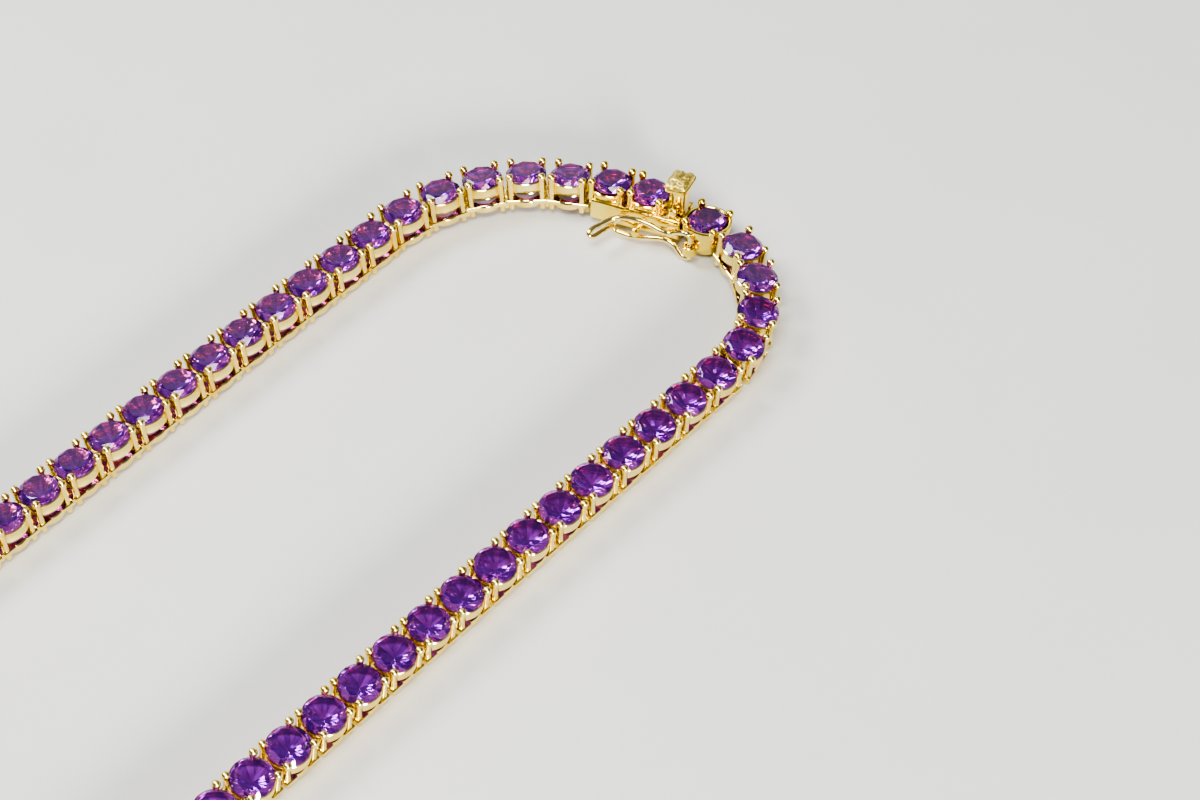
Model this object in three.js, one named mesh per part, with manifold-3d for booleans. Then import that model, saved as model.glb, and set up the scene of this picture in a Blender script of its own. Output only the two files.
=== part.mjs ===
// A tennis necklace: round cut stones in four-prong baskets, hinged link to link into one closed loop,
// with a box clasp that carries two stones, a sprung tongue with a thumb tab, and a figure-of-eight
// safety catch. Millimetres, +Z up. The loop lies on its outer bottom edge, banked a little outward.
import * as THREE from "three";
import { mergeVertices } from "three/addons/utils/BufferGeometryUtils.js";
import Module from "manifold-3d";

const wasm = await Module();
wasm.setup();

// ---------------------------------------------------------------- driving dimensions

// A cut stone: radii to its corners, the height of its table, and the depths above and below its edge.
const STONE = { girdle: 3.19, table: 2.45, tableHeight: 5.5, crown: 0.75, pavilion: 2.6 };
const PITCH = 6.45; // stone centre to stone centre along a strand
const LINKS_PER_STRAND = 30; // a strand runs from the clasp to the middle of the front
const FACETS = 8; // sides of a cut stone in this model
const GAP = 0.3; // clearance between separate pieces

const PRONG = { along: 2.4, across: 2.46, corner: 0.46, top: 6.0 };
const RAIL_LOW = 2.9; // underside of the gallery rail at the stone's edge
const BASE = { along: 2.88, across: 2.94, low: 0.1, high: 1.7, wall: 1.0 };
const BARREL = { radius: 0.65, height: 0.85, halfWidth: 2.0 }; // soldered bar between two links

// An open hinge: a bored knuckle on one piece turns on a pin between two ears on the next.
const HINGE = { knuckle: 0.78, bore: 0.52, pin: 0.22, half: 0.8, earInner: 1.1, earOuter: 1.8 };
const HINGE_ARM = 1.0;

// Places along the loop, measured from the clasp's own origin. The near strand counts up from it, and
// the far strand's last link and the two stones on the box lie before it.
const FIRST_LINK = 14.2;
const LAST_LINK = -15.6;
const TONGUE_STONE = 6.7;
const LOOP_LENGTH = (2 * LINKS_PER_STRAND - 1) * PITCH + FIRST_LINK - LAST_LINK;

// The loop in plan: turns are clockwise, in degrees. The straights and the front bend close it.
const SHOULDERS = {
  far: { turn: 70.7, length: 36.1 },
  clasp: { turn: 0, length: 10.5 },
  near: { turn: 109.3, length: 38.3 },
};

// How far the links bank outward, in degrees, at places along the loop.
const BANK = [
  { at: 0, lean: 12 },
  { at: 26, lean: 10 },
  { at: 70, lean: 6.5 },
  { at: 105, lean: 10 },
  { at: 155, lean: 12.5 },
  { at: 255, lean: 4 },
  { at: 340, lean: 4 },
  { at: 362, lean: 2 },
  { at: 388, lean: 13 },
  { at: LOOP_LENGTH, lean: 12 },
];

// The clasp in its own frame: X toward the tongue's end, Y to the loop's outside.
const BOX = { back: -11.35, mouth: 2.9, halfWidth: 3.1, low: 0.1, high: 3.35, wall: 0.55 };
const BASKET = {
  stones: [-3.0, -9.2],
  raise: 0.7,
  stone: 2.9,
  along: 2.35,
  across: 2.45,
  colletInner: 2.35,
  colletOuter: 3.12,
  colletHigh: 4.6,
  seat: 1.2,
};
const GUIDE = { from: 0.9, to: 2.15, inner: 1.6, outer: 2.7, high: 4.8 };
const STUD = { x: -3.2, z: 1.2, radius: 0.42, end: -5.2, ball: 0.6 };

const TONGUE = { fold: -10.2, halfWidth: 2.1, leaf: 0.35, low: 1.1 };
const NECK = { from: 3.2, to: 4.2, halfWidth: 1.6, low: 0.5, high: 2.2 };
const CUP = {
  turn: 10,
  tilt: -4,
  bottom: 3.0,
  top: 3.85,
  low: 0.1,
  high: 4.4,
  rim: 0.75,
  well: 2.3,
  floor: 0.9,
  stone: 2.8,
  stoneDrop: 0.4,
};

// The thumb tab: a spring leaf above the tongue's, a stem through the notch, and a lumpy head.
const LEAF = { from: -9.9, to: 2.75, low: 1.75, rise: 0.4, thickness: 0.35 };
const STEM = { from: 1.05, to: 2.75, halfWidth: 1.3 };
const HEAD = { x: 1.7, low: 7.9, high: 9.5, halfLength: 1.75, halfWidth: 2.5 };

// The safety catch: a wire in the shape of an eight, hinged in a post on the cup's inner side. Its upper
// line runs from the post over the stud and round the finger loop; its lower line goes back to the post.
const POST = { x: 5.5, y: -5.15, outer: 1.1, bore: 0.68, low: -0.1, high: 1.4 };
const WIRE = { radius: 0.37, sides: 5, upperSteps: 20, lowerSteps: 14 };
const CATCH_UPPER = [
  { x: 5.5, y: -5.15, z: 1.1 },
  { x: 5.5, y: -5.15, z: 2.6 },
  { x: 5.05, y: -5.4, z: 3.4 },
  { x: 3.7, y: -5.1, z: 3.05 },
  { x: 2.2, y: -4.65, z: 2.15 },
  { x: 0.5, y: -4.5, z: 2.15 },
  { x: -1.3, y: -4.4, z: 2.6 },
  { x: -3.2, y: -4.4, z: 2.8 },
  { x: -5.2, y: -4.45, z: 2.7 },
  { x: -6.5, y: -4.8, z: 2.45 },
  { x: -7.4, y: -5.6, z: 2.2 },
  { x: -8.3, y: -6.9, z: 1.9 },
  { x: -9.0, y: -8.0, z: 1.55 },
  { x: -9.1, y: -8.6, z: 1.0 },
  { x: -8.6, y: -8.3, z: 0.7 },
  { x: -7.9, y: -7.2, z: 0.95 },
  { x: -7.4, y: -6.1, z: 1.05 },
  { x: -6.9, y: -4.9, z: 1.1 },
];
const CATCH_LOWER = [
  { x: -5.7, y: -4.5, z: 2.4 },
  { x: -6.5, y: -4.6, z: 1.8 },
  { x: -6.95, y: -4.65, z: 0.95 },
  { x: -6.6, y: -4.6, z: 0.2 },
  { x: -5.5, y: -4.55, z: -0.1 },
  { x: -4.2, y: -4.45, z: -0.25 },
  { x: -2.5, y: -4.4, z: -0.05 },
  { x: -0.4, y: -4.4, z: 0.45 },
  { x: 1.5, y: -4.6, z: 0.8 },
  { x: 2.9, y: -4.8, z: 0.4 },
  { x: 4.3, y: -5.02, z: -0.82 },
  { x: 5.5, y: -5.15, z: -0.95 },
];

// ---------------------------------------------------------------- small helpers

const radians = THREE.MathUtils.degToRad;

/** A closed geometry as a solid that can be joined and cut. */
function solid(geometry) {
  const bare = geometry.clone();
  bare.deleteAttribute("normal");
  bare.deleteAttribute("uv");
  const merged = mergeVertices(bare);
  return new wasm.Manifold(
    new wasm.Mesh({
      numProp: 3,
      vertProperties: new Float32Array(merged.attributes.position.array),
      triVerts: new Uint32Array(merged.index.array),
    }),
  );
}

/** Solids joined into one, in pairs so that no join is larger than it has to be. */
function join(solids) {
  let left = solids;
  while (left.length > 1) {
    const next = [];
    for (let i = 0; i < left.length; i += 2) {
      next.push(i + 1 < left.length ? left[i].add(left[i + 1]) : left[i]);
    }
    left = next;
  }
  return left[0];
}

/** A solid's surface as a three.js geometry. */
function geometryOf(shape) {
  const mesh = shape.getMesh();
  const geometry = new THREE.BufferGeometry();
  geometry.setAttribute("position", new THREE.BufferAttribute(mesh.vertProperties, 3));
  geometry.setIndex(new THREE.BufferAttribute(mesh.triVerts, 1));
  geometry.computeVertexNormals();
  return geometry;
}

function block(x0, x1, y0, y1, z0, z1) {
  const box = new THREE.BoxGeometry(x1 - x0, y1 - y0, z1 - z0);
  return box.translate((x0 + x1) / 2, (y0 + y1) / 2, (z0 + z1) / 2);
}

/** A regular polygon as a path: corner radius r, first corner at an angle in degrees. */
function polygon(sides, r, first = 0, Path = THREE.Shape) {
  const path = new Path();
  for (let i = 0; i < sides; i += 1) {
    const angle = radians(first) + (2 * Math.PI * i) / sides;
    path[i ? "lineTo" : "moveTo"](r * Math.cos(angle), r * Math.sin(angle));
  }
  return path;
}

function upright(shape, low, high) {
  const geometry = new THREE.ExtrudeGeometry(shape, { depth: high - low, bevelEnabled: false });
  return geometry.translate(0, 0, low);
}

/** A bar of regular section that lies across the chain, from y0 to y1. */
function crossBar(sides, r, x, z, y0, y1) {
  const bar = upright(polygon(sides, r), y0, y1);
  return bar.rotateX(-Math.PI / 2).translate(x, 0, z);
}

/** A turned form about Z from a profile of [radius, height] pairs that starts and ends on the axis. */
function turned(profile, sides, first = 0) {
  const points = profile.map(([r, z]) => new THREE.Vector2(r, z));
  return new THREE.LatheGeometry(points, sides).rotateX(Math.PI / 2).rotateZ(Math.PI / 2 + radians(first));
}

// ---------------------------------------------------------------- the loop's line

/** The pose reached from a pose after a stretch: a straight, or an arc that turns clockwise. */
function travel({ x, y, heading }, distance, turn) {
  if (turn === 0) {
    return { x: x + distance * Math.cos(heading), y: y + distance * Math.sin(heading), heading };
  }
  const radius = distance / turn;
  const end = heading - turn;
  return {
    x: x + radius * (Math.sin(heading) - Math.sin(end)),
    y: y + radius * (Math.cos(end) - Math.cos(heading)),
    heading: end,
  };
}

/** The loop's stretches in order from the clasp's origin, each with its start pose. */
function closedLoop() {
  const { far, clasp, near } = SHOULDERS;
  const origin = { x: 0, y: 0, heading: Math.PI / 2 - radians(far.turn) };
  const nearEnd = travel(origin, near.length, radians(near.turn));
  const claspStart = travel(origin, -clasp.length, 0);
  const farStart = travel(claspStart, -far.length, -radians(far.turn));
  const width = nearEnd.x - farStart.x;
  const front = (Math.PI * width) / 2;
  const straights = LOOP_LENGTH - near.length - far.length - clasp.length - front;
  const extra = nearEnd.y - farStart.y;
  const parts = [
    [near.length, near.turn],
    [(straights + extra) / 2, 0],
    [front, 180],
    [(straights - extra) / 2, 0],
    [far.length, far.turn],
    [clasp.length, 0],
  ];
  const stretches = [];
  let start = 0;
  let pose = origin;
  for (const [length, turn] of parts) {
    stretches.push({ start, length, turn: radians(turn), pose });
    pose = travel(pose, length, radians(turn));
    start += length;
  }
  return stretches;
}

const STRETCHES = closedLoop();

function poseAt(place) {
  const s = ((place % LOOP_LENGTH) + LOOP_LENGTH) % LOOP_LENGTH;
  const stretch = STRETCHES.findLast((part) => part.start <= s);
  const share = (s - stretch.start) / stretch.length;
  return travel(stretch.pose, s - stretch.start, share * stretch.turn);
}

function leanAt(place) {
  const s = ((place % LOOP_LENGTH) + LOOP_LENGTH) % LOOP_LENGTH;
  const next = Math.max(1, BANK.findIndex((row) => row.at > s));
  const [low, high] = [BANK[next - 1], BANK[next]];
  return THREE.MathUtils.lerp(low.lean, high.lean, THREE.MathUtils.smoothstep(s, low.at, high.at));
}

/** The frame of a link: X along the loop, Y to its outside, Z up and banked outward. */
function frameAt(place, { turn = 0, tilt = 0, halfWidth = BASE.across, low = BASE.low } = {}) {
  const { x, y, heading } = poseAt(place);
  const lean = radians(leanAt(place) + tilt);
  const lift = halfWidth * Math.sin(lean) - low * Math.cos(lean);
  return new THREE.Matrix4()
    .makeTranslation(x, y, lift)
    .multiply(new THREE.Matrix4().makeRotationZ(heading + radians(turn)))
    .multiply(new THREE.Matrix4().makeRotationX(-lean));
}

const place = (geometry, frame) => solid(geometry.clone().applyMatrix4(frame));
const move = (shape, frame) => place(geometryOf(shape), frame);

// ---------------------------------------------------------------- links

/** A cut stone: flat table, a crown facet to each side, and a pointed pavilion. */
function stoneProfile(tableHeight, girdle) {
  const edge = tableHeight - STONE.crown;
  const table = (girdle * STONE.table) / STONE.girdle;
  return [[0, edge - STONE.pavilion], [girdle, edge], [table, tableHeight], [0, tableHeight]];
}

/** Four upright prongs at the corners (+-along, +-across), each with a flat face to the stone. */
function prongs(along, across, low, high) {
  const wire = upright(polygon(4, PRONG.corner, 45), low, high);
  const corners = [[1, 1], [-1, 1], [-1, -1], [1, -1]];
  return corners.map(([x, y]) => {
    const outward = Math.atan2(y * across, x * along);
    return wire.clone().rotateZ(outward).translate(x * along, y * across, 0);
  });
}

function rectangle(halfX, halfY, Path) {
  const path = new Path();
  path.moveTo(-halfX, -halfY);
  path.lineTo(halfX, -halfY);
  path.lineTo(halfX, halfY);
  path.lineTo(-halfX, halfY);
  return path;
}

/** One link: base frame, four prongs, gallery rail and the stone, all fused. */
function link() {
  const [culet, edge, ...top] = stoneProfile(STONE.tableHeight, STONE.girdle);
  const stoneInRail = turned([culet, [edge[0], RAIL_LOW], edge, ...top], FACETS);
  const outline = rectangle(BASE.along, BASE.across, THREE.Shape);
  outline.holes.push(rectangle(BASE.along - BASE.wall, BASE.across - BASE.wall, THREE.Path));
  const frame = upright(outline, BASE.low, BASE.high);
  const feet = (BASE.low + BASE.high) / 2;
  const wires = prongs(PRONG.along, PRONG.across, feet, PRONG.top);
  return join([stoneInRail, frame, ...wires].map(solid));
}

// ---------------------------------------------------------------- open hinges, on the axis x = 0

/** A chain's end with a bored knuckle that reaches to the pin, from its frame on the side given. */
function withKnuckle(chain, frame, side) {
  const { knuckle, bore, pin, half, earInner } = HINGE;
  const [near, far] = [Math.min(0, side * HINGE_ARM), Math.max(0, side * HINGE_ARM)];
  const arm = block(near, far, -half, half, BASE.low, 2 * knuckle - BASE.low);
  const eye = crossBar(8, knuckle, 0, knuckle, -half, half);
  const hole = crossBar(8, bore, 0, knuckle, -half - 0.4, half + 0.4);
  const room = pin + 2 * GAP;
  const [back, front] = [Math.min(-side * GAP, side * room), Math.max(-side * GAP, side * room)];
  const slots = [-1, 1].map((y) => {
    const [y0, y1] = [y * (earInner - GAP), y * (BASE.across + 1)].sort((a, b) => a - b);
    return block(back, front, y0, y1, BASE.low - 1, BASE.high + 1);
  });
  const whole = join([chain, place(arm, frame), place(eye, frame)]);
  return [hole, ...slots].reduce((shape, cut) => shape.subtract(place(cut, frame)), whole);
}

/** Two ears and the pin between them, from a body that lies at x >= from. */
function ears(from, frame) {
  const { knuckle, pin, earInner, earOuter } = HINGE;
  const sides = [-1, 1].map((y) => {
    const [y0, y1] = [y * earInner, y * earOuter].sort((a, b) => a - b);
    return block(-pin - GAP, from, y0, y1, BASE.low, 2 * knuckle - BASE.low);
  });
  const reach = (earInner + earOuter) / 2;
  return join([...sides, crossBar(6, pin, 0, knuckle, -reach, reach)].map((part) => place(part, frame)));
}

// ---------------------------------------------------------------- chain

const LINK = geometryOf(link());
const MIDDLE = FIRST_LINK + (LINKS_PER_STRAND - 0.5) * PITCH;

const hingeFrame = (s) => frameAt(s);
const nearHinge = hingeFrame(FIRST_LINK - PITCH / 2);
const frontHinge = hingeFrame(MIDDLE);
const boxHinge = hingeFrame(LAST_LINK + PITCH / 2);

function chain(first) {
  const bar = crossBar(4, BARREL.radius, 0, BARREL.height, -BARREL.halfWidth, BARREL.halfWidth);
  const parts = [];
  for (let i = 0; i < LINKS_PER_STRAND; i += 1) {
    parts.push(place(LINK, frameAt(first + i * PITCH)));
    if (i > 0) {
      parts.push(place(bar, hingeFrame(first + (i - 0.5) * PITCH)));
    }
  }
  return join(parts);
}

function chainNear() {
  const strand = chain(FIRST_LINK);
  return withKnuckle(withKnuckle(strand, nearHinge, 1), frontHinge, -1);
}

function chainFar() {
  const reach = HINGE.knuckle + GAP;
  const strand = withKnuckle(chain(MIDDLE + PITCH / 2), boxHinge, -1);
  const room = block(-reach, reach, -HINGE.earInner, HINGE.earInner, BASE.low - 1, BASE.high + 1);
  const crossWall = block(reach, reach + 0.6, -BASE.across + 0.6, BASE.across - 0.6, BASE.low, BASE.high);
  return join([
    strand.subtract(place(room, frontHinge)),
    place(crossWall, frontHinge),
    ears(reach + 0.3, frontHinge),
  ]);
}

// ---------------------------------------------------------------- clasp box

const claspFrame = frameAt(0, { halfWidth: BOX.halfWidth, low: BOX.low });

function boxShell() {
  const { back, mouth, halfWidth, low, high, wall } = BOX;
  const side = halfWidth - wall;
  const notch = STEM.from - GAP;
  const cuts = [
    block(back + wall, mouth + 1, -side, side, low + wall, high - wall),
    block(notch, mouth + 1, -STEM.halfWidth - GAP, STEM.halfWidth + GAP, high - wall - 0.2, high + 1),
    ...BASKET.stones.map((x) => {
      const seat = upright(polygon(12, BASKET.seat), high - wall - 0.2, high + 0.2);
      return seat.translate(x, 0, 0);
    }),
  ];
  const outside = solid(block(back, mouth, -halfWidth, halfWidth, low, high));
  return cuts.reduce((shape, cut) => shape.subtract(solid(cut)), outside);
}

function claspBox() {
  const { back, halfWidth, high, wall } = BOX;
  const added = [-1, 1].map((y) => {
    const [y0, y1] = [y * GUIDE.inner, y * GUIDE.outer].sort((a, b) => a - b);
    return block(GUIDE.from, GUIDE.to, y0, y1, high - 0.2, GUIDE.high);
  });
  for (const x of BASKET.stones) {
    const collet = polygon(12, BASKET.colletOuter, 15);
    collet.holes.push(polygon(12, BASKET.colletInner, 15, THREE.Path));
    added.push(upright(collet, high - 0.2, BASKET.colletHigh).translate(x, 0, 0));
    const wires = prongs(BASKET.along, BASKET.across, high - 0.3, PRONG.top + BASKET.raise);
    added.push(...wires.map((wire) => wire.translate(x, 0, 0)));
  }
  added.push(crossBar(8, STUD.radius, STUD.x, STUD.z, STUD.end, wall / 2 - halfWidth));
  added.push(new THREE.SphereGeometry(STUD.ball, 8, 6).translate(STUD.x, STUD.end, STUD.z));
  const box = move(join([boxShell(), ...added.map(solid)]), claspFrame);
  const reach = back - (LAST_LINK + PITCH / 2);
  return box.add(ears(reach + wall / 2, boxHinge));
}

function boxStone(x) {
  const profile = stoneProfile(STONE.tableHeight + BASKET.raise, BASKET.stone);
  return place(turned(profile, FACETS, 22.5).translate(x, 0, 0), claspFrame);
}

// ---------------------------------------------------------------- tongue's end

const cupFrame = frameAt(TONGUE_STONE, {
  turn: CUP.turn,
  tilt: CUP.tilt,
  halfWidth: CUP.bottom,
  low: CUP.low,
});

function cup() {
  const profile = [
    [0, CUP.low],
    [CUP.bottom, CUP.low],
    [CUP.top, CUP.high],
    [CUP.top - CUP.rim, CUP.high],
    [CUP.well, CUP.floor],
    [0, CUP.floor],
  ];
  return turned(profile, 12, 15);
}

/** The open space inside the cup, so that what reaches into its wall does not show in the well. */
function cupWell() {
  const inner = CUP.top - CUP.rim;
  return turned([[0, CUP.floor], [CUP.well, CUP.floor], [inner, CUP.high], [0, CUP.high]], 12, 15);
}

function tongueEnd() {
  const { fold, halfWidth, leaf, low } = TONGUE;
  const leafAndNeck = [
    block(fold, NECK.to, -halfWidth, halfWidth, low, low + leaf),
    block(NECK.from, NECK.to, -NECK.halfWidth, NECK.halfWidth, NECK.low, NECK.high),
  ];
  const post = polygon(12, POST.outer);
  post.holes.push(polygon(12, POST.bore, 0, THREE.Path));
  const upToWell = join([
    ...leafAndNeck.map((part) => place(part, claspFrame)),
    place(upright(post, POST.low, POST.high).translate(POST.x, POST.y, 0), claspFrame),
    place(block(POST.x - 0.5, POST.x + 0.5, POST.y + 0.85, -3.6, 0.3, 1.2), claspFrame),
  ]).subtract(place(cupWell(), cupFrame));
  const wires = prongs(PRONG.along, PRONG.across, CUP.high - 0.8, PRONG.top - CUP.stoneDrop);
  const turnedHinge = nearHinge.clone().multiply(new THREE.Matrix4().makeRotationZ(Math.PI));
  const inCup = [cup(), ...wires].map((part) => place(part, cupFrame));
  return join([upToWell, ...inCup, ears(1.6, turnedHinge)]);
}

function tongueStone() {
  const profile = stoneProfile(STONE.tableHeight - CUP.stoneDrop, CUP.stone);
  return place(turned(profile, FACETS, 22.5), cupFrame);
}

// ---------------------------------------------------------------- thumb tab

function thumbTab() {
  const { from, to, low, rise, thickness } = LEAF;
  const side = new THREE.Shape();
  side.moveTo(from, low);
  side.lineTo(to, low + rise);
  side.lineTo(to, low + rise + thickness);
  side.lineTo(from, low + thickness);
  const leaf = upright(side, -TONGUE.halfWidth, TONGUE.halfWidth).rotateX(Math.PI / 2);
  const stem = block(STEM.from, STEM.to, -STEM.halfWidth, STEM.halfWidth, low + rise + 0.1, HEAD.low + 0.3);
  const head = turned([[0, 0], [0.92, 0], [1, 0.25], [0.88, 0.7], [0.55, 1], [0, 1]], 8, 22.5);
  const flat = Math.cos(Math.PI / 8);
  head.scale(HEAD.halfLength / flat, HEAD.halfWidth / flat, HEAD.high - HEAD.low);
  head.translate(HEAD.x, 0, HEAD.low);
  return move(join([leaf, stem, head].map(solid)), claspFrame);
}

// ---------------------------------------------------------------- safety catch

function wireAlong(points, steps) {
  const line = new THREE.CatmullRomCurve3(points.map(({ x, y, z }) => new THREE.Vector3(x, y, z)));
  const section = polygon(WIRE.sides, WIRE.radius);
  return new THREE.ExtrudeGeometry(section, { steps, extrudePath: line, bevelEnabled: false });
}

function safetyCatch() {
  const pin = upright(polygon(WIRE.sides, WIRE.radius), CATCH_LOWER.at(-1).z - 0.1, CATCH_UPPER[0].z + 0.4);
  const parts = [
    wireAlong(CATCH_UPPER, WIRE.upperSteps),
    wireAlong(CATCH_LOWER, WIRE.lowerSteps),
    pin.translate(POST.x, POST.y, 0),
  ];
  return move(join(parts.map(solid)), claspFrame);
}

// ---------------------------------------------------------------- assembly

const gold = (roughness) => new THREE.MeshStandardMaterial({ color: 0xd9a441, roughness, metalness: 1 });
const amethyst = () => new THREE.MeshStandardMaterial({ color: 0x5a2a86, roughness: 0.08, metalness: 0 });

const necklace = new THREE.Group();

function piece(name, shape, material) {
  const mesh = new THREE.Mesh(geometryOf(shape), material);
  mesh.name = name;
  necklace.add(mesh);
}

piece("chain_near", chainNear(), gold(0.2));
piece("chain_far", chainFar(), gold(0.2));
piece("clasp_box", claspBox(), gold(0.2));
piece("box_stone_1", boxStone(BASKET.stones[0]), amethyst());
piece("box_stone_2", boxStone(BASKET.stones[1]), amethyst());
piece("tongue_end", tongueEnd(), gold(0.2));
piece("tongue_stone", tongueStone(), amethyst());
piece("thumb_tab", thumbTab(), gold(0.35));
piece("safety_catch", safetyCatch(), gold(0.2));

// The origin is the middle of the loop's footprint, on the surface that it lies on.
const extent = new THREE.Box3().setFromObject(necklace);
const centre = extent.getCenter(new THREE.Vector3());
for (const mesh of necklace.children) {
  mesh.geometry.translate(-centre.x, -centre.y, -extent.min.z);
}

export default necklace;
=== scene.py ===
"""A tennis necklace in yellow gold: purple brilliants in four-prong baskets, a box clasp with a
thumb tab and a figure-of-eight safety catch. Forms are worked in millimetres."""

import math
from bisect import bisect_right

import bmesh
import bpy
from mathutils import Matrix, Vector, noise


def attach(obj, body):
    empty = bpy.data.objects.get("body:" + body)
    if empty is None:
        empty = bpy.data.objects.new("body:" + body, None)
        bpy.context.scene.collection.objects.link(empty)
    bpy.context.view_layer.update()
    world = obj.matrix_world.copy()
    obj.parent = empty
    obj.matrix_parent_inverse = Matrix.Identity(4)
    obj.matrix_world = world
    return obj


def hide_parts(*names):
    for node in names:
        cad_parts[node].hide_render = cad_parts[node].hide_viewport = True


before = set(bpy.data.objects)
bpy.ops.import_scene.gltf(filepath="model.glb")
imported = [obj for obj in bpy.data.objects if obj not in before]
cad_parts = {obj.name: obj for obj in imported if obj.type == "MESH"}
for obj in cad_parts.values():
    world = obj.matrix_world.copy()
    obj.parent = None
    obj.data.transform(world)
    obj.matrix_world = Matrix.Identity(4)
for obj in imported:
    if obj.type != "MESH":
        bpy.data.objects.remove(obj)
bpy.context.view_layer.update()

# ------------------------------------------------------------------ measures, in millimetres

METRES_PER_MM = 0.001

# Places along the loop are measured from the clasp's origin, through the tongue's end and onward.
PITCH = 6.45  # stone centre to stone centre
LINKS_PER_STRAND = 30
TONGUE_STONE = 6.7  # the cup's stone
FIRST_LINK = 14.2  # the first link after the tongue's end
LAST_LINK = -15.6  # the last link, behind the clasp box
LOOP_LENGTH = (2 * LINKS_PER_STRAND - 1) * PITCH + FIRST_LINK - LAST_LINK
MIDDLE = FIRST_LINK + (LINKS_PER_STRAND - 0.5) * PITCH
LOOP_CENTRE = Vector((1.074335, 84.997052, 0.0))  # brings the loop's footprint to the origin

# The loop in plan beside the clasp: length of each bend and its clockwise turn in degrees.
NEAR_SHOULDER = (38.3, 109.3)
FAR_SHOULDER = (36.1, 70.7)
CLASP_STRAIGHT = 10.5

# Outward bank of the links in degrees, at places along the loop.
BANK_PLACES = (0, 26, 70, 105, 155, 255, 340, 362, 388, LOOP_LENGTH)
BANK_LEANS = (12, 10, 6.5, 10, 12.5, 4, 4, 2, 13, 12)

# What a banked piece stands on: half its width and the height of its lower edge.
BASE_HALF, BASE_LOW = 2.94, 0.1
BOX_HALF = 3.1
CUP_BOTTOM, CUP_TURN, CUP_TILT = 3.0, 10, -4  # half width, then degrees round and outward

STONE_RADIUS, TABLE_RADIUS = 3.02, 2.12
TABLE_HEIGHT, CROWN, PAVILION = 5.5, 0.75, 2.62
GIRDLE_HALF = 0.09

PRONG_FOOT = (2.28, 2.24)  # along and across, where a wire leaves the base
PRONG_HEAD = (2.37, 2.29)  # and where its bead sits
WIRE_RADIUS, BEAD_RADIUS, BEAD_HEIGHT = 0.5, 0.65, 5.38

# ------------------------------------------------------------------ the loop's line


def travel(pose, distance, turn):
    """The pose reached from (x, y, heading) after a straight, or an arc that turns clockwise."""
    x, y, heading = pose
    if turn == 0:
        return x + distance * math.cos(heading), y + distance * math.sin(heading), heading
    radius, end = distance / turn, heading - turn
    return (
        x + radius * (math.sin(heading) - math.sin(end)),
        y + radius * (math.cos(end) - math.cos(heading)),
        end,
    )


def closed_loop():
    """The loop's stretches as (start, length, turn, pose). Two straights and the front bend close
    it."""
    near_length, near_turn = NEAR_SHOULDER[0], math.radians(NEAR_SHOULDER[1])
    far_length, far_turn = FAR_SHOULDER[0], math.radians(FAR_SHOULDER[1])
    origin = (0.0, 0.0, math.pi / 2 - far_turn)
    near_end = travel(origin, near_length, near_turn)
    far_start = travel(travel(origin, -CLASP_STRAIGHT, 0), -far_length, -far_turn)
    front = math.pi * (near_end[0] - far_start[0]) / 2
    straights = LOOP_LENGTH - near_length - far_length - CLASP_STRAIGHT - front
    extra = near_end[1] - far_start[1]
    parts = (
        (near_length, near_turn),
        ((straights + extra) / 2, 0),
        (front, math.pi),
        ((straights - extra) / 2, 0),
        (far_length, far_turn),
        (CLASP_STRAIGHT, 0),
    )
    stretches, start, pose = [], 0.0, origin
    for length, turn in parts:
        stretches.append((start, length, turn, pose))
        pose = travel(pose, length, turn)
        start += length
    return stretches


STRETCHES = closed_loop()


def pose_at(place):
    """Position and heading on the loop's line at a place along it."""
    place %= LOOP_LENGTH
    start, length, turn, pose = [part for part in STRETCHES if part[0] <= place][-1]
    return travel(pose, place - start, (place - start) / length * turn)


def lean_at(place):
    """Outward bank in radians, eased from one named place to the next."""
    place %= LOOP_LENGTH
    after = max(1, bisect_right(BANK_PLACES, place))
    share = (place - BANK_PLACES[after - 1]) / (BANK_PLACES[after] - BANK_PLACES[after - 1])
    share = share * share * (3 - 2 * share)
    return math.radians(BANK_LEANS[after - 1] + share * (BANK_LEANS[after] - BANK_LEANS[after - 1]))


def frame_at(place, turn=0.0, tilt=0.0, half_width=BASE_HALF, low=BASE_LOW):
    """The frame of a link: X along the loop, Y to its outside, Z up and banked outward."""
    x, y, heading = pose_at(place)
    lean = lean_at(place) + math.radians(tilt)
    lift = half_width * math.sin(lean) - low * math.cos(lean)
    return (
        Matrix.Translation(Vector((x, y, lift)) + LOOP_CENTRE)
        @ Matrix.Rotation(heading + math.radians(turn), 4, "Z")
        @ Matrix.Rotation(-lean, 4, "X")
    )


CLASP = frame_at(0, half_width=BOX_HALF)
CUP = frame_at(TONGUE_STONE, turn=CUP_TURN, tilt=CUP_TILT, half_width=CUP_BOTTOM)
NEAR_LINKS = [frame_at(FIRST_LINK + i * PITCH) for i in range(LINKS_PER_STRAND)]
FAR_LINKS = [frame_at(MIDDLE + (i + 0.5) * PITCH) for i in range(LINKS_PER_STRAND)]
NEAR_JOINTS = [frame_at(FIRST_LINK + (i - 0.5) * PITCH) for i in range(LINKS_PER_STRAND + 1)]
FAR_JOINTS = [frame_at(MIDDLE + i * PITCH) for i in range(1, LINKS_PER_STRAND + 1)]

# ------------------------------------------------------------------ forming


def turned(profile, sides, closed=False):
    """A form turned about Z from (radius, height) pairs. The profile ends on the axis, or closes on
    itself."""
    form = bmesh.new()
    points = [form.verts.new((r, 0, z)) for r, z in profile]
    pairs = zip(points, points[1:] + points[:1] if closed else points[1:])
    edges = [form.edges.new(pair) for pair in pairs]
    bmesh.ops.spin(
        form,
        geom=points + edges,
        axis=(0, 0, 1),
        cent=(0, 0, 0),
        steps=sides,
        angle=math.tau,
        use_merge=True,
    )
    bmesh.ops.remove_doubles(form, verts=form.verts, dist=1e-4)
    bmesh.ops.recalc_face_normals(form, faces=form.faces)
    return form


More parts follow.
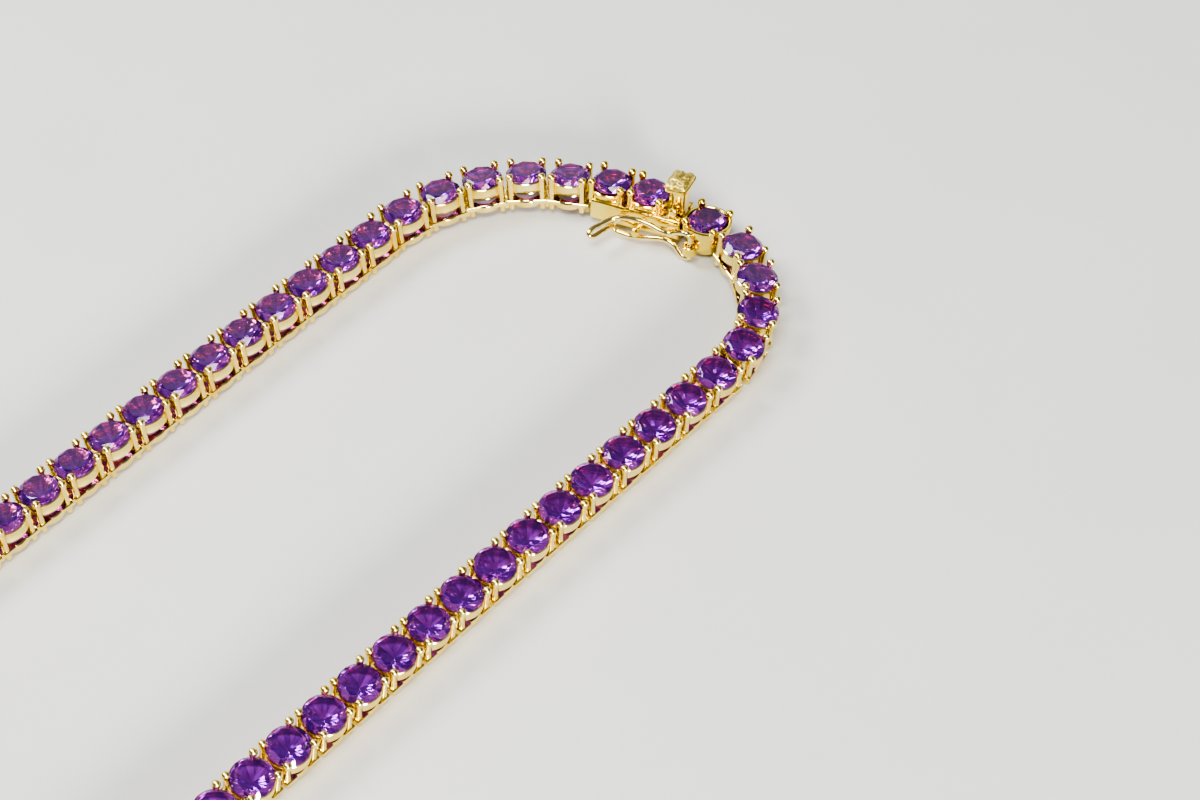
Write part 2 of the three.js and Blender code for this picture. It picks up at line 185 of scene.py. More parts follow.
def slab(x, y, z, ease=0.0, segments=2):
    """A block between pairs of limits, with eased edges."""
    form = bmesh.new()
    bmesh.ops.create_cube(form, size=1)
    limits = (x, y, z)
    bmesh.ops.scale(form, vec=[high - low for low, high in limits], verts=form.verts)
    bmesh.ops.translate(form, vec=[(low + high) / 2 for low, high in limits], verts=form.verts)
    if ease:
        bmesh.ops.bevel(
            form,
            geom=form.edges[:],
            offset=ease,
            affect="EDGES",
            segments=segments,
            profile=0.5,
            material=-1,
        )
    return form


def rod(radius, start, end, sides=12, ease=0.1):
    """A straight round rod between two points, its ends eased."""
    start, end = Vector(start), Vector(end)
    length = (end - start).length
    profile = [
        (0, 0),
        (radius - ease, 0),
        (radius, ease),
        (radius, length - ease),
        (radius - ease, length),
        (0, length),
    ]
    aim = (end - start).to_track_quat("Z", "Y").to_matrix().to_4x4()
    return put(turned(profile, sides), Matrix.Translation(start) @ aim)


def put(form, matrix):
    """Moves a form into a frame."""
    form.transform(matrix)
    return form


def shift(form, x=0.0, y=0.0, z=0.0):
    return put(form, Matrix.Translation((x, y, z)))


def add_to(whole, form, matrix=None):
    """Adds a copy of one form to another."""
    mesh = bpy.data.meshes.new("part")
    form.to_mesh(mesh)
    if matrix is not None:
        mesh.transform(matrix)
    whole.from_mesh(mesh)
    bpy.data.meshes.remove(mesh)


def gathered(*forms):
    """Several forms as one."""
    whole = bmesh.new()
    for form in forms:
        add_to(whole, form)
        form.free()
    return whole


def repeated(form, frames):
    """A form set down once in each frame."""
    whole = bmesh.new()
    for place in frames:
        add_to(whole, form, place)
    form.free()
    return whole


def stand_in(form):
    """A form as a passing object, for a modifier or a cut."""
    mesh = bpy.data.meshes.new("stand_in")
    form.to_mesh(mesh)
    form.free()
    thing = bpy.data.objects.new("stand_in", mesh)
    bpy.context.scene.collection.objects.link(thing)
    return thing


def settled_form(thing):
    """What a passing object comes to once its modifiers or its bevel are worked out."""
    bpy.context.view_layer.update()
    graph = bpy.context.evaluated_depsgraph_get()
    mesh = bpy.data.meshes.new_from_object(thing.evaluated_get(graph))
    form = bmesh.new()
    form.from_mesh(mesh)
    bpy.data.meshes.remove(mesh)
    return form


def carved(form, *cutters):
    """A form with other forms cut out of it."""
    body, tools = stand_in(form), [stand_in(cutter) for cutter in cutters]
    for tool in tools:
        cut = body.modifiers.new("cut", "BOOLEAN")
        cut.operation, cut.solver, cut.object = "DIFFERENCE", "EXACT", tool
    result = settled_form(body)
    for thing in [body, *tools]:
        data = thing.data
        bpy.data.objects.remove(thing)
        bpy.data.meshes.remove(data)
    return result


def drawn_wire(points, radius, sides=20, steps=10):
    """A round wire along a smooth line through points, closed at both ends."""
    line = bpy.data.curves.new("line", "CURVE")
    line.dimensions, line.resolution_u = "3D", steps
    line.bevel_depth, line.bevel_resolution = radius, (sides - 4) // 2
    line.use_fill_caps = True
    spline = line.splines.new("BEZIER")
    spline.bezier_points.add(len(points) - 1)
    for knot, point in zip(spline.bezier_points, points):
        knot.co = point
        knot.handle_left_type = knot.handle_right_type = "AUTO"
    thing = bpy.data.objects.new("line", line)
    bpy.context.scene.collection.objects.link(thing)
    form = settled_form(thing)
    bpy.data.objects.remove(thing)
    bpy.data.curves.remove(line)
    bmesh.ops.remove_doubles(form, verts=form.verts, dist=1e-4)
    bmesh.ops.recalc_face_normals(form, faces=form.faces)
    return form


def piece(name, form, finish, body="necklace", stands_for=(), smooth=35.0):
    """A finished form as a named piece of the necklace, riding on a body. Smooth is the widest
    angle in degrees that is shaded as one surface; 0 keeps every facet flat."""
    form.transform(Matrix.Scale(METRES_PER_MM, 4))
    mesh = bpy.data.meshes.new(name)
    form.to_mesh(mesh)
    form.free()
    if smooth:
        mesh.polygons.foreach_set("use_smooth", [True] * len(mesh.polygons))
        mesh.set_sharp_from_angle(angle=math.radians(smooth))
    mesh.materials.append(finish)
    thing = bpy.data.objects.new(name, mesh)
    bpy.context.scene.collection.objects.link(thing)
    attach(thing, body)
    if stands_for:
        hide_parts(*stands_for)
    return thing


# ------------------------------------------------------------------ finishes


class Value:
    """A shader socket that can be used in ordinary arithmetic."""

    def __init__(self, finish, socket):
        self.finish, self.socket = finish, socket

    def math(self, operation, *values):
        return self.finish.node("Math", {"operation": operation}, dict(enumerate(values)))

    def __add__(self, other):
        return self.math("ADD", self, other)

    def __sub__(self, other):
        return self.math("SUBTRACT", self, other)

    def __rsub__(self, other):
        return self.math("SUBTRACT", other, self)

    def __mul__(self, other):
        return self.math("MULTIPLY", self, other)

    def __pow__(self, other):
        return self.math("POWER", self, other)

    __radd__, __rmul__ = __add__, __mul__

    def between(self, low, high):
        """0 at low, 1 at high, straight between and level beyond."""
        limits = {"Value": self, "From Min": low, "From Max": high}
        return self.finish.node("MapRange", {}, limits)


class Finish:
    """A material whose nodes are all made by one method."""

    def __init__(self, name):
        self.material = bpy.data.materials.new(name)
        self.material.use_nodes = True
        self.tree = self.material.node_tree
        self.tree.nodes.clear()
        self.place = self.node("TexCoord", output="Object")

    def node(self, kind, settings=None, sockets=None, output=0):
        """Makes a node: first its settings, then its sockets' values or links. Gives one output."""
        node = self.tree.nodes.new("ShaderNode" + kind)
        for key, value in (settings or {}).items():
            setattr(node, key, value)
        for key, value in (sockets or {}).items():
            socket = node.inputs[key]
            if isinstance(value, Value):
                self.tree.links.new(value.socket, socket)
            else:
                socket.default_value = value
        return Value(self, node.outputs[output])

    def noise(self, scale, detail=2.0, stretch=(1, 1, 1)):
        place = self.place
        if stretch != (1, 1, 1):
            place = self.node("Mapping", {}, {"Vector": place, "Scale": stretch})
        return self.node("TexNoise", {}, {"Vector": place, "Scale": scale, "Detail": detail})

    def mix(self, share, first, second):
        """One colour passing into another; 6, 7 and output 2 are the Mix node's colour sockets."""
        return self.node("Mix", {"data_type": "RGBA"}, {0: share, 6: first, 7: second}, output=2)

    def bump(self, height, distance, under=None):
        sockets = {"Height": height, "Distance": distance, "Strength": 1.0}
        if under is not None:
            sockets["Normal"] = under
        return self.node("Bump", {}, sockets)

    def done(self, **sockets):
        """Ends the material in one Principled shader, its sockets named with underscores."""
        named = {key.replace("_", " "): value for key, value in sockets.items()}
        shader = self.node("BsdfPrincipled", {}, named)
        end = self.tree.nodes.new("ShaderNodeOutputMaterial")
        self.tree.links.new(shader.socket, end.inputs["Surface"])
        return self.material


def polished_gold(name, light, deep, roughness, ripple=1.0):
    """Polished gold: a slow ripple left by the wheel, fine hairlines, a warmer tone in places."""
    gold = Finish(name)
    waves = gold.noise(900, 2.0)
    hairlines = gold.noise(5200, 3.0, stretch=(1, 0.12, 0.35))
    smudges = gold.noise(260, 3.0)
    normal = gold.bump(waves, 0.00004 * ripple)
    normal = gold.bump(hairlines, 0.000004, under=normal)
    return gold.done(
        Base_Color=gold.mix(smudges.between(0.35, 0.7), light, deep),
        Metallic=1.0,
        Roughness=roughness + 0.07 * hairlines + 0.08 * smudges.between(0.45, 0.75),
        Normal=normal,
    )


def nugget_gold():
    """Granular gold: grains stand up from duller hollows, with painted shade: the colour is deeper
    in the hollows and lighter on the grain tops.
    """
    gold = Finish("nugget gold")
    cells = gold.node("TexVoronoi", {"feature": "F1"}, {"Vector": gold.place, "Scale": 2600.0})
    lumps = gold.noise(1900, 4.0)
    grain = 0.4 * lumps + 0.6 * (1 - cells.between(0.0, 0.75))
    return gold.done(
        # painted shade: darker gold in the grain's hollows, lighter gold on its tops
        Base_Color=gold.mix(grain.between(0.2, 0.55), (0.7, 0.49, 0.09, 1), (1.0, 0.84, 0.3, 1)),
        Metallic=1.0,
        Roughness=0.4 - 0.16 * grain.between(0.4, 0.85),
        Normal=gold.bump(grain, 0.00008),
    )


PAINTED_FLASH = "painted_flash_tone"  # painted light on each facet: from 0, a facet painted dark, to 1, one painted with a bright flash


def amethyst():
    """Clear purple crystal: colour in soft zones, facets hand polished, some painted deep, some
    painted with a lively bright flash.
    """
    crystal = Finish("purple crystal")
    zones = crystal.noise(190, 2.0)
    polish = crystal.noise(4200, 2.0)
    tone = crystal.node("Attribute", {"attribute_name": PAINTED_FLASH}, output="Fac")
    body = crystal.mix(zones.between(0.3, 0.7), (0.115, 0.01, 0.35, 1), (0.19, 0.018, 0.45, 1))
    return crystal.done(
        # painted light: each facet's painted flash pulls the body colour toward a bright pink
        # violet
        Base_Color=crystal.mix(tone ** 1.6, body, (0.82, 0.24, 1.0, 1)),
        Roughness=0.015 + 0.035 * polish,
        IOR=1.55,
        Transmission_Weight=0.9,
        Specular_IOR_Level=0.6,
    )


CHAIN_GOLD = polished_gold(
    "chain gold", light=(1.0, 0.85, 0.36, 1), deep=(0.97, 0.74, 0.21, 1), roughness=0.08
)
CLASP_GOLD = polished_gold(
    "clasp gold", light=(1.0, 0.81, 0.22, 1), deep=(0.97, 0.69, 0.11, 1), roughness=0.09, ripple=1.6
)
WIRE_GOLD = polished_gold(
    "catch gold", light=(1.0, 0.86, 0.42, 1), deep=(0.98, 0.75, 0.26, 1), roughness=0.07
)
NUGGET_GOLD = nugget_gold()
CRYSTAL = amethyst()

# ------------------------------------------------------------------ stones


def grind(form, point, normal):
    """Grinds one flat facet: what lies beyond a plane goes, and the cut is closed."""
    bmesh.ops.bisect_plane(
        form,
        geom=form.verts[:] + form.edges[:] + form.faces[:],
        dist=1e-5,
        plane_co=point,
        plane_no=normal,
        clear_outer=True,
    )
    bmesh.ops.holes_fill(form, edges=form.edges, sides=0)


def facet_row(form, count, first, slope, reach, height):
    """Grinds a row of facets round the stone, through a point at the reach and height given."""
    for i in range(count):
        azimuth = math.radians(first + 360 / count * i)
        across = Vector((math.cos(azimuth), math.sin(azimuth), 0))
        upward = math.copysign(math.cos(slope), height)
        normal = across * math.sin(slope) + Vector((0, 0, upward))
        grind(form, across * reach + Vector((0, 0, height)), normal)


def brilliant(radius=STONE_RADIUS):
    """A round brilliant about its girdle: a table, stars, kites and halves above, mains and halves
    below. Each facet carries a painted flash, a dark or bright tone that stands in for light in the
    stone."""
    size = radius / STONE_RADIUS
    table, crown = TABLE_RADIUS * size, CROWN - GIRDLE_HALF
    pavilion = PAVILION * size - GIRDLE_HALF
    eighth, half = math.cos(math.radians(22.5)), math.cos(math.radians(11.25))
    form = bmesh.new()
    bmesh.ops.create_cone(
        form, cap_ends=True, segments=32, radius1=radius, radius2=radius, depth=2 * PAVILION
    )
    kite = crown / (radius - table)
    tip = 0.48 * (radius + table * eighth)
    tip_height = (radius - tip * eighth) * kite
    upper = tip_height / ((radius - tip) * half)
    main = pavilion / radius
    low_tip = 0.24 * radius
    low_depth = (radius - low_tip * eighth) * main
    lower = low_depth / ((radius - low_tip) * half)
    star = (crown - tip_height) / (tip - table * eighth)
    facet_row(form, 8, 0, math.atan(kite), radius, GIRDLE_HALF)
    facet_row(form, 16, 11.25, math.atan(upper), radius * half, GIRDLE_HALF)
    facet_row(form, 8, 22.5, math.atan(star), table * eighth, GIRDLE_HALF + crown)
    grind(form, (0, 0, GIRDLE_HALF + crown), (0, 0, 1))
    facet_row(form, 8, 0, math.atan(main), radius, -GIRDLE_HALF)
    facet_row(form, 16, 11.25, math.atan(lower), radius * half, -GIRDLE_HALF)
    bmesh.ops.remove_doubles(form, verts=form.verts, dist=2e-3)
    bmesh.ops.recalc_face_normals(form, faces=form.faces)
    # painted light: the table gets a mid tone, and the facets round it get darker or brighter
    # painted flashes
    tone = form.faces.layers.float.new(PAINTED_FLASH)
    for face in form.faces:
        middle = face.calc_center_median()
        sector = math.degrees(math.atan2(middle.y, middle.x)) / 22.5
        is_table = face.normal.z > 0.99
        face[tone] = 0.35 if is_table else 0.5 + 0.5 * math.sin(sector * 2.6 + middle.z * 5 + 1)
    return form


SETTERS_TURN = 137.5  # degrees from one stone to the next, so that no two neighbours look alike


def set_stones(frames, radius=STONE_RADIUS, table=TABLE_HEIGHT, first=0):
    """Stones at table height in each frame, each turned a little differently by the setter."""
    lift = Matrix.Translation((0, 0, table - CROWN))
    places = []
    for number, place in enumerate(frames, start=first):
        places.append(place @ lift @ Matrix.Rotation(math.radians(number * SETTERS_TURN), 4, "Z"))
    return repeated(brilliant(radius), places)


# ------------------------------------------------------------------ settings

CORNERS = ((1, 1), (-1, 1), (-1, -1), (1, -1))


def prong(foot, head, low, bead_height, sides=12):
    """A wire from its foot up to a round bead that grips the stone's edge."""
    rise = bead_height - low
    neck = rise - math.sqrt(BEAD_RADIUS**2 - WIRE_RADIUS**2)
    bead = [
        (BEAD_RADIUS * math.cos(math.radians(a)), rise + BEAD_RADIUS * math.sin(math.radians(a)))
        for a in (-12, 18, 45, 70)
    ]
    wire = [(0, 0), (WIRE_RADIUS, 0), (WIRE_RADIUS, neck)]
    form = turned([*wire, *bead, (0, rise + BEAD_RADIUS)], sides)
    lean = Vector((head[0] - foot[0], head[1] - foot[1], rise))
    for vert in form.verts:
        vert.co.x += lean.x * vert.co.z / rise
        vert.co.y += lean.y * vert.co.z / rise
    return shift(form, foot[0], foot[1], low)


def four_prongs(foot, head, low, bead_height, settled=(0, 0, 0, 0)):
    """Prongs at the four corners; each may be settled a little lower than the rest."""
    forms = []
    for (x, y), drop in zip(CORNERS, settled):
        stands, grips = (x * foot[0], y * foot[1]), (x * head[0], y * head[1])
        forms.append(prong(stands, grips, low, bead_height - drop))
    return gathered(*forms)


def band(inner, outer, low, high, ease=0.12, sides=28, belly=0.0):
    """A round band with eased edges. Its outer face swells by the belly, or is hollowed where that
    is below 0."""
    quarter = (high - low) / 4
    profile = [
        (inner + ease / 2, low),
        (outer - ease, low),
        (outer, low + ease),
        (outer + belly, low + quarter),
        (outer + belly, high - quarter),
        (outer, high - ease),
        (outer - ease, high),
        (inner + ease / 2, high),
        (inner, high - ease),
        (inner, low + ease),
    ]
    return turned(profile, sides, closed=True)


# Bands of a link: inner and outer radius, lower and upper edge, swell of the outer face.
RAIL = {"inner": 2.6, "outer": 3.07, "low": 2.75, "high": 4.62, "ease": 0.16, "belly": -0.1}
BASE_RING = {"inner": 1.95, "outer": 2.82, "low": 0.3, "high": 1.6, "ease": 0.16, "belly": 0.04}
PAD_ALONG, PAD_ACROSS, PAD_HEIGHTS = (0.95, 2.98), (1.95, 2.86), (1.02, 1.7)
FOOT_LOW = 0.12  # where the prong wires end under the base


def foot_pads():
    """Flat pads at the corners of the base, on which the prong wires stand."""
    pads = []
    for x, y in CORNERS:
        along = sorted(x * reach for reach in PAD_ALONG)
        across = sorted(y * reach for reach in PAD_ACROSS)
        pads.append(slab(along, across, PAD_HEIGHTS, ease=0.09, segments=1))
    return gathered(*pads)


def basket():
    """One link's setting: hollowed gallery rail, base ring, corner pads and four prong wires."""
    return gathered(
        band(**RAIL, sides=32),
        band(**BASE_RING, sides=28),
        foot_pads(),
        four_prongs(PRONG_FOOT, PRONG_HEAD, FOOT_LOW, BEAD_HEIGHT),
    )


HINGE_HEIGHT, HINGE_RADIUS = 0.8, 0.66
HINGE_PARTS = ((-2.2, -0.92), (-0.82, 0.82), (0.92, 2.2))  # the barrel's parts, across the loop
TAB_HEIGHTS = (0.95, 1.42)


def joint():
    """The hinge between two links: a barrel in three parts, with one tab to the link behind and two
    to the next."""
    barrels = [
        rod(HINGE_RADIUS, (0, start, HINGE_HEIGHT), (0, end, HINGE_HEIGHT), sides=12)
        for start, end in HINGE_PARTS
    ]
    tabs = [
        slab(along, across, TAB_HEIGHTS, ease=0.08, segments=1)
        for along, across in (
            ((-1.4, 0), (-0.76, 0.76)),
            ((0, 1.4), (0.98, 2.1)),
            ((0, 1.4), (-2.1, -0.98)),
        )
    ]
    return gathered(*barrels, *tabs)


def strand(links, joints):
    """The metal of half the chain."""
    return gathered(repeated(basket(), links), repeated(joint(), joints))


for side, node, links, joints in (
    ("near", "chain_near", NEAR_LINKS, NEAR_JOINTS),
    ("far", "chain_far", FAR_LINKS, FAR_JOINTS),
):
    metal = strand(links, joints)
    piece(side + "_settings", metal, CHAIN_GOLD, stands_for=[node])
piece("near_stones", set_stones(NEAR_LINKS), CRYSTAL, smooth=0)
piece("far_stones", set_stones(FAR_LINKS, first=40), CRYSTAL, smooth=0)

# ------------------------------------------------------------------ clasp box

BOX_BACK, BOX_MOUTH, BOX_LOW, BOX_HIGH, BOX_WALL = -11.35, 2.9, 0.1, 3.35, 0.55
BOX_STONES = (-9.2, -3.0)  # along the box
BOX_STONE_RADIUS = 2.88
BASKET_RAISE = 0.7  # how far the box lifts its baskets above the links'
COLLET = {"inner": 2.35, "outer": 3.0, "low": 3.3, "high": 4.45, "ease": 0.16, "belly": -0.08}
BOX_PRONG_FOOT, BOX_PRONG_HEAD, BOX_PRONG_LOW = (2.25, 2.34), (2.25, 2.36), 3.05
BOX_PRONGS_SETTLED = ((-0.1, -0.1, 0.15, 0.45), (-0.15, -0.2, 0.2, 0.7))
STONE_TILTS = (7, 10)  # degrees toward the inner side
STEM_FROM, STEM_TO, STEM_HALF = 1.05, 2.75, 1.3  # the tab's stem, along and across
GAP = 0.3
ABOVE = 5  # clear of the box's roof
GUIDE_ALONG, GUIDE_ACROSS, GUIDE_HEIGHTS = (0.9, 2.15), (1.6, 2.7), (3.15, 4.8)
STUD_PLACE = (-3.2, -3.0, 1.1)
STUD_NECK, STUD_FLARE = 1.45, 0.5  # how far out the head begins, and where it is full
STUD_PROFILE = (
    (0, 0),
    (0.42, 0),
    (0.42, 1.2),
    (0.36, STUD_NECK),
    (0.45, 1.7),
    (0.62, 2.0),
    (0.62, 2.3),
    (0.45, 2.6),
    (0, 2.75),
)


def clasp_box():
    """The box: hollow, open at its mouth, notched for the stem and drilled under its stones."""
    inside = BOX_HALF - BOX_WALL
    floor, roof = BOX_LOW + BOX_WALL, BOX_HIGH - BOX_WALL
    beyond = BOX_MOUTH + 1
    block = slab(
        (BOX_BACK, BOX_MOUTH), (-BOX_HALF, BOX_HALF), (BOX_LOW, BOX_HIGH), ease=0.32, segments=3
    )
    room = slab((BOX_BACK + BOX_WALL, beyond), (-inside, inside), (floor, roof))
    notch_half = STEM_HALF + GAP
    notch = slab((STEM_FROM - GAP, beyond), (-notch_half, notch_half), (roof - 0.2, ABOVE))
    bore = [(0, 2.6), (1.2, 2.6), (1.2, 4), (0, 4)]
    seats = [shift(turned(bore, 24), x) for x in BOX_STONES]
    return carved(block, room, notch, *seats)


def catch_stud():
    """The stud that the safety catch snaps over, its head wider across than high."""
    stud = turned(STUD_PROFILE, 24)
    for vert in stud.verts:
        flare = max(0.0, min(1.0, (vert.co.z - STUD_NECK) / STUD_FLARE))
        vert.co.y *= 1 + 0.35 * flare
    sideways = Matrix.Rotation(math.pi / 2, 4, "X")
    return put(stud, Matrix.Translation(STUD_PLACE) @ sideways)


def clasp_settings():
    """What is soldered to the box: two collets with prongs, guides at the mouth, and the stud."""
    forms = []
    for x, settled in zip(BOX_STONES, BOX_PRONGS_SETTLED):
        height = BEAD_HEIGHT + BASKET_RAISE
        prongs = four_prongs(BOX_PRONG_FOOT, BOX_PRONG_HEAD, BOX_PRONG_LOW, height, settled)
        forms.append(shift(gathered(band(**COLLET, sides=40), prongs), x))
    for side in (1, -1):
        across = sorted(side * reach for reach in GUIDE_ACROSS)
        forms.append(slab(GUIDE_ALONG, across, GUIDE_HEIGHTS, ease=0.22, segments=3))
    return gathered(*forms, catch_stud())


piece(
    "clasp_box_metal",
    put(gathered(clasp_box(), clasp_settings()), CLASP),
    CLASP_GOLD,
    stands_for=["clasp_box"],
)
piece("box_hinge", repeated(joint(), [frame_at(LAST_LINK + PITCH / 2)]), CLASP_GOLD)


def tilted(frame_of, x, edge_height, degrees):
    """A frame at x, tipped toward the inner side about the height of its stone's edge."""
    edge = Matrix.Translation((x, 0, edge_height))
    tip = Matrix.Rotation(math.radians(degrees), 4, "X")
    return frame_of @ edge @ tip @ Matrix.Translation((0, 0, -edge_height))


piece(
    "box_stones",
    set_stones(
        [tilted(CLASP, x, 5.25, tilt) for x, tilt in zip(BOX_STONES, STONE_TILTS)],
        radius=BOX_STONE_RADIUS,
        table=TABLE_HEIGHT + BASKET_RAISE - 0.2,
        first=11,
    ),
    CRYSTAL,
    stands_for=["box_stone_1", "box_stone_2"],
    smooth=0,
)

# ------------------------------------------------------------------ tongue's end


CUP_PROFILE = (
    (0, 0.1),
    (2.8, 0.1),
    (2.98, 0.25),
    (3.66, 4.2),
    (3.6, 4.34),
    (3.45, 4.4),
    (3.2, 4.4),
    (3.08, 4.3),
    (2.3, 0.9),
    (0, 0.9),
)
CUP_STONE_RADIUS, CUP_STONE_DROP, CUP_STONE_TILT = 2.85, 0.5, 5
CUP_PRONG_FOOT, CUP_PRONG_HEAD, CUP_PRONG_LOW = (2.3, 2.3), (2.37, 2.33), 3.4
CUP_PRONGS_SETTLED = (-0.1, -0.2, 0.25, 0.35)
POST_PLACE = (5.5, -5.15)  # the safety catch's post, beside the cup


def tongue_end():
    """The cup with its prongs, the tongue's lower leaf and neck, and the post on its arm."""
    height = BEAD_HEIGHT - 0.4
    prongs = four_prongs(
        CUP_PRONG_FOOT, CUP_PRONG_HEAD, CUP_PRONG_LOW, height, settled=CUP_PRONGS_SETTLED
    )
    in_cup = put(gathered(turned(CUP_PROFILE, 48), prongs), CUP)
    leaf = slab((-10.2, 4.2), (-2.1, 2.1), (1.1, 1.45))
    neck = slab((3.2, 4.2), (-1.6, 1.6), (0.5, 2.2), ease=0.15)
    post = shift(band(0.68, 1.1, -0.1, 1.4, ease=0.1, sides=32), *POST_PLACE)
    arm = slab((5.0, 6.0), (-4.3, -3.2), (0.3, 1.2), ease=0.1)
    return gathered(in_cup, put(gathered(leaf, neck, post, arm), CLASP))


piece("tongue_end_metal", tongue_end(), CLASP_GOLD, stands_for=["tongue_end"])
piece(
    "cup_stone",
    set_stones(
        [tilted(CUP, 0, 4.35, CUP_STONE_TILT)],
        radius=CUP_STONE_RADIUS,
        table=TABLE_HEIGHT - CUP_STONE_DROP,
        first=5,
    ),
    CRYSTAL,
    stands_for=["tongue_stone"],
    smooth=0,
)

# ------------------------------------------------------------------ thumb tab

HEAD = (
    CLASP
    @ Matrix.Translation((1.57, 0, 7.84))
    @ Matrix.Rotation(math.radians(-4), 4, "Y")
    @ Matrix.Rotation(math.radians(4), 4, "X")
)
HEAD_LENGTH, HEAD_WIDTH, HEAD_RISE = 1.84, 2.48, 1.15  # half length, half width, dome's rise
PLATE_LENGTH, PLATE_WIDTH = 1.9, 2.55
SQUARENESS = 5  # 2 is round; more is squarer
PLATE_PROFILE = (
    (0, 0),
    (0.9, 0),
    (0.985, 0.05),
    (1, 0.16),
    (0.985, 0.42),
    (0.93, 0.52),
    (0, 0.52),
)
LEAF_BACK, LEAF_FRONT, LEAF_LIFT = -9.9, 2.75, 0.4  # the sprung leaf rises toward the mouth


def squared(direction):
    """How far a rounded square of unit size reaches in a level direction."""
    level = math.hypot(direction.x, direction.y)
    if level < 1e-6:
        return 1.0
    x, y = abs(direction.x) / level, abs(direction.y) / level
    return (x**SQUARENESS + y**SQUARENESS) ** (-1 / SQUARENESS)


def nugget():
    """The tab's grained top: a pillow with rounded corners, in two lobes with a fold between."""
    form = bmesh.new()
    bmesh.ops.create_icosphere(form, subdivisions=6, radius=1)
    for vert in form.verts:
        out = vert.co.normalized()
        reach = squared(out)
        rise = max(0.0, out.z) ** 0.6 * HEAD_RISE
        at = Vector((out.x * HEAD_LENGTH * reach, out.y * HEAD_WIDTH * reach, rise))
        lumps = 0.16 * noise.noise(at * 0.9 + Vector((3, 1, 7))) + 0.13 * noise.noise(at * 2.1)
        grain = 0.06 * noise.noise(at * 4.5) + 0.02 * noise.noise(at * 11)
        fold = 0.3 * math.exp(-(((at.x - 0.35) / 0.3) ** 2)) * max(0.0, min(1.0, at.y / 1.6 + 0.2))
        at *= 0.95 + (lumps + grain) * max(0.12, out.z) - fold * max(0.0, out.z + 0.2)
        vert.co = at + Vector((0, 0, 0.36 if out.z > 0 else 0.3))
    return form


def head_plate():
    """The smooth plate that the grained top sits on."""
    plate = turned(PLATE_PROFILE, 72)
    for vert in plate.verts:
        reach = squared(vert.co)
        vert.co.x *= PLATE_LENGTH * reach
        vert.co.y *= PLATE_WIDTH * reach
    return plate


def thumb_tab():
    """The upper leaf, and the stem with its window."""
    leaf = slab((LEAF_BACK, LEAF_FRONT), (-2.1, 2.1), (0, 0.35))
    for vert in leaf.verts:
        vert.co.z += 1.75 + LEAF_LIFT * (vert.co.x - LEAF_BACK) / (LEAF_FRONT - LEAF_BACK)
    stem = slab((STEM_FROM, STEM_TO), (-STEM_HALF, STEM_HALF), (2.25, 8.2), ease=0.16, segments=3)
    window = slab((1.45, 2.4), (-STEM_HALF - 0.5, -STEM_HALF + 0.7), (4.75, 6.5), ease=0.12)
    return gathered(leaf, carved(stem, window))


piece(
    "tab_stem",
    gathered(put(thumb_tab(), CLASP), put(head_plate(), HEAD)),
    CLASP_GOLD,
    body="thumb_tab",
    stands_for=["thumb_tab"],
)
piece("tab_head", put(nugget(), HEAD), NUGGET_GOLD, body="thumb_tab", smooth=60)

# ------------------------------------------------------------------ safety catch

CATCH_RADIUS = 0.42
CATCH_UPPER = (
    (5.5, -5.15, 1.1),
    (5.5, -5.15, 2.6),
    (5.05, -5.4, 3.4),
    (3.7, -5.1, 3.05),
    (2.2, -4.65, 2.15),
    (0.5, -4.5, 2.15),
    (-1.3, -4.4, 2.6),
    (-3.2, -4.4, 2.8),
    (-5.2, -4.45, 2.7),
    (-6.5, -4.8, 2.45),
    (-7.4, -5.6, 2.2),
    (-8.3, -6.9, 1.9),
    (-9.0, -8.0, 1.55),
    (-9.1, -8.6, 1.0),
    (-8.6, -8.3, 0.7),
    (-7.9, -7.2, 0.95),
    (-7.4, -6.1, 1.05),
    (-6.9, -4.9, 1.1),
)
CATCH_LOWER = (
    (-5.7, -4.5, 2.4),
    (-6.5, -4.6, 1.8),
    (-6.95, -4.65, 0.95),
    (-6.6, -4.6, 0.2),
    (-5.5, -4.55, -0.1),
    (-4.2, -4.45, -0.25),
    (-2.5, -4.4, -0.05),
    (-0.4, -4.4, 0.45),
    (1.5, -4.6, 0.8),
    (2.9, -4.8, 0.4),
    (4.3, -5.02, -0.82),
    (5.5, -5.15, -0.95),
)

catch = gathered(
    drawn_wire(CATCH_UPPER, CATCH_RADIUS),
    drawn_wire(CATCH_LOWER, CATCH_RADIUS),
    rod(CATCH_RADIUS, (*POST_PLACE, -1.0), (*POST_PLACE, 1.5), sides=20),
)
piece(
    "catch_wire",
    put(catch, CLASP),
    WIRE_GOLD,
    body="safety_catch",
    stands_for=["safety_catch"],
)

# ------------------------------------------------------------------ floor, light and camera


def pale_floor():
    """A plain pale surface under the necklace."""
    form = bmesh.new()
    bmesh.ops.create_grid(form, x_segments=1, y_segments=1, size=6.0)
    mesh = bpy.data.meshes.new("floor")
    form.to_mesh(mesh)
    form.free()
    paper = Finish("pale paper")
    tone = paper.mix(paper.noise(30, 2.0), (0.59, 0.587, 0.578, 1), (0.63, 0.627, 0.618, 1))
    mesh.materials.append(paper.done(Base_Color=tone, Roughness=0.75))
    floor = bpy.data.objects.new("floor", mesh)
    bpy.context.scene.collection.objects.link(floor)


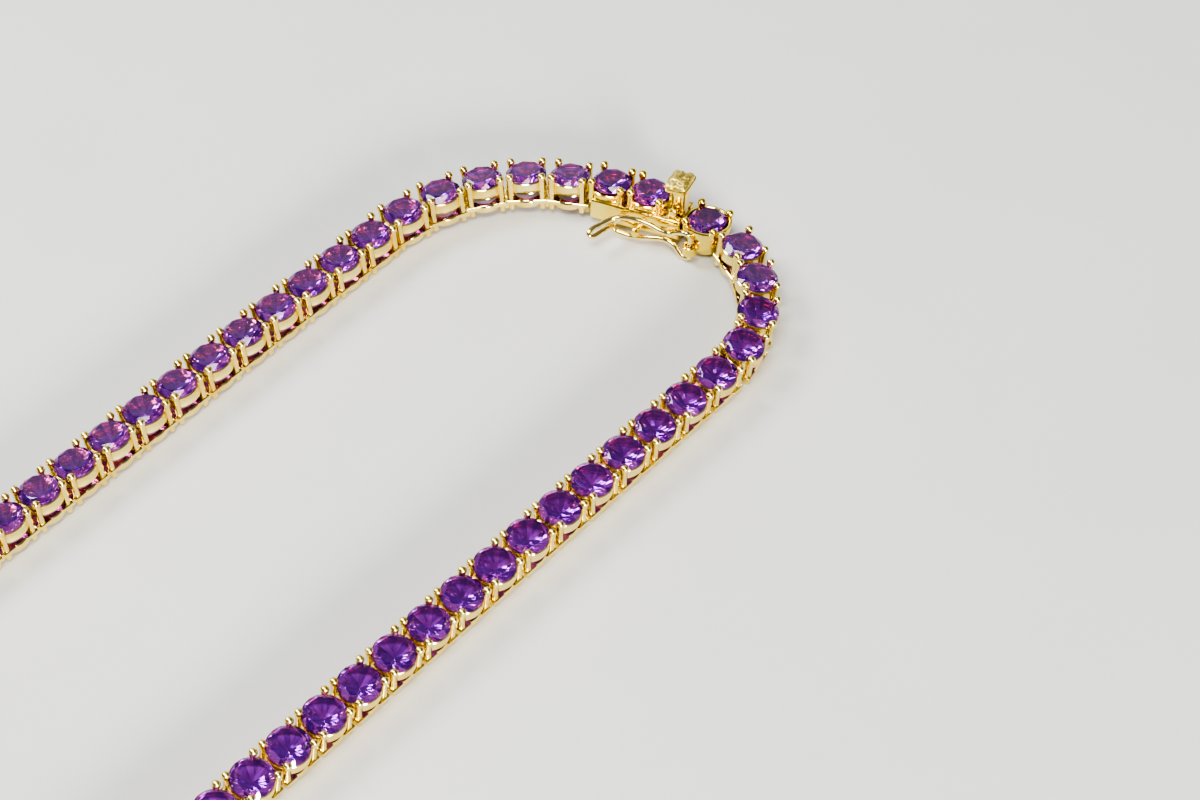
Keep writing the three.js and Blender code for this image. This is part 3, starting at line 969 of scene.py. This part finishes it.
def softbox(name, place, target, size, watts, colour=(1, 1, 1)):
    """A rectangular soft light at a place, turned to a target."""
    lamp = bpy.data.lights.new(name, "AREA")
    lamp.shape, lamp.size, lamp.size_y = "RECTANGLE", size[0], size[1]
    lamp.energy, lamp.color = watts, colour
    thing = bpy.data.objects.new(name, lamp)
    thing.location = place
    thing.rotation_euler = (Vector(target) - Vector(place)).to_track_quat("-Z", "Y").to_euler()
    bpy.context.scene.collection.objects.link(thing)


def sky(strength):
    """Even light from the room."""
    world = bpy.data.worlds.new("room")
    world.use_nodes = True
    background = world.node_tree.nodes["Background"]
    background.inputs["Color"].default_value = (0.62, 0.65, 0.7, 1)
    background.inputs["Strength"].default_value = strength
    bpy.context.scene.world = world


def camera():
    """Looks down on the clasp end of the loop at 48 degrees, from the front right."""
    place = Vector((0.22476, -0.15552, 0.33069))
    aim, down, roll = Vector((-0.7067, 0.7075, 0)), math.radians(48.26), math.radians(3.72)
    ahead = aim * math.cos(down) + Vector((0, 0, -math.sin(down)))
    level = Vector((0.7075, 0.7067, 0))
    upward = aim * math.sin(down) + Vector((0, 0, math.cos(down)))
    right = level * math.cos(roll) - upward * math.sin(roll)
    top = level * math.sin(roll) + upward * math.cos(roll)
    view = bpy.data.cameras.new("camera")
    view.lens, view.sensor_width = 93.75, 36.0
    view.clip_start, view.clip_end = 0.01, 20.0
    thing = bpy.data.objects.new("camera", view)
    axes = Matrix((right, top, -ahead)).transposed().to_4x4()
    thing.matrix_world = Matrix.Translation(place) @ axes
    bpy.context.scene.collection.objects.link(thing)
    bpy.context.scene.camera = thing


def camera_look():
    """Film contrast of the finished picture."""
    view = bpy.context.scene.view_settings
    view.view_transform, view.look = "AgX", "AgX - High Contrast"


pale_floor()
softbox("front", (1.16, -0.48, 0.42), (0, 0.06, 0), (0.3, 0.26), 26.0, (1.0, 0.98, 0.94))
softbox("left", (-0.5, -0.1, 0.5), (0, 0.05, 0), (0.32, 0.24), 3.7, (0.97, 0.98, 1.0))
softbox("over", (0.1, -0.14, 0.62), (0, 0.05, 0), (0.3, 0.24), 3.0, (1.0, 0.99, 0.96))
softbox("back", (-0.66, 0.72, 0.52), (0, 0.05, 0), (1.2, 0.6), 1.5)
sky(0.25)
camera()
camera_look()
